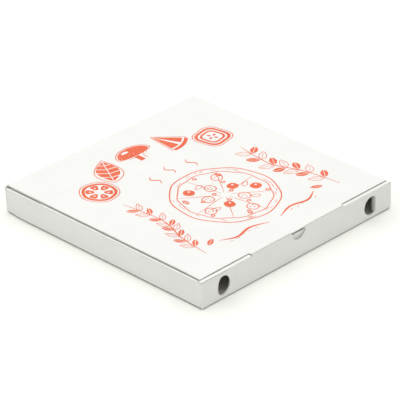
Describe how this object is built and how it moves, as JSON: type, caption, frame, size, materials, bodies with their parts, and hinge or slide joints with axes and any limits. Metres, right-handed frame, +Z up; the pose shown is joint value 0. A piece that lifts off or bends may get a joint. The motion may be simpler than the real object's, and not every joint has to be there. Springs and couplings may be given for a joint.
{
  "type": "pizza box",
  "caption": "Flat square takeaway pizza box folded from thin white corrugated board, with a hinged tuck-in lid, rolled front ends, a thumb notch and round steam vents.",
  "frame": {"origin": "middle of the underside of the closed box", "axes": "+Z up; the front wall with the thumb notch and the vents is at -Y, the lid's hinge crease at +Y"},
  "size_m": [0.28, 0.28, 0.032],
  "materials": {
    "tray_board": "matt white paper liner over fine corrugated board",
    "lid_board": "matt white paper liner, printed in one orange-red ink"
  },
  "bodies": {
    "tray": {"tray": "tray_board"},
    "lid": {"lid": "lid_board"}
  },
  "joints": [
    {"name": "lid_hinge", "type": "hinge", "parent": "tray", "child": "lid", "pos_m": [0, 0.14, 0.0305], "axis": [-1, 0, 0], "range_deg": [0, 180]}
  ]
}
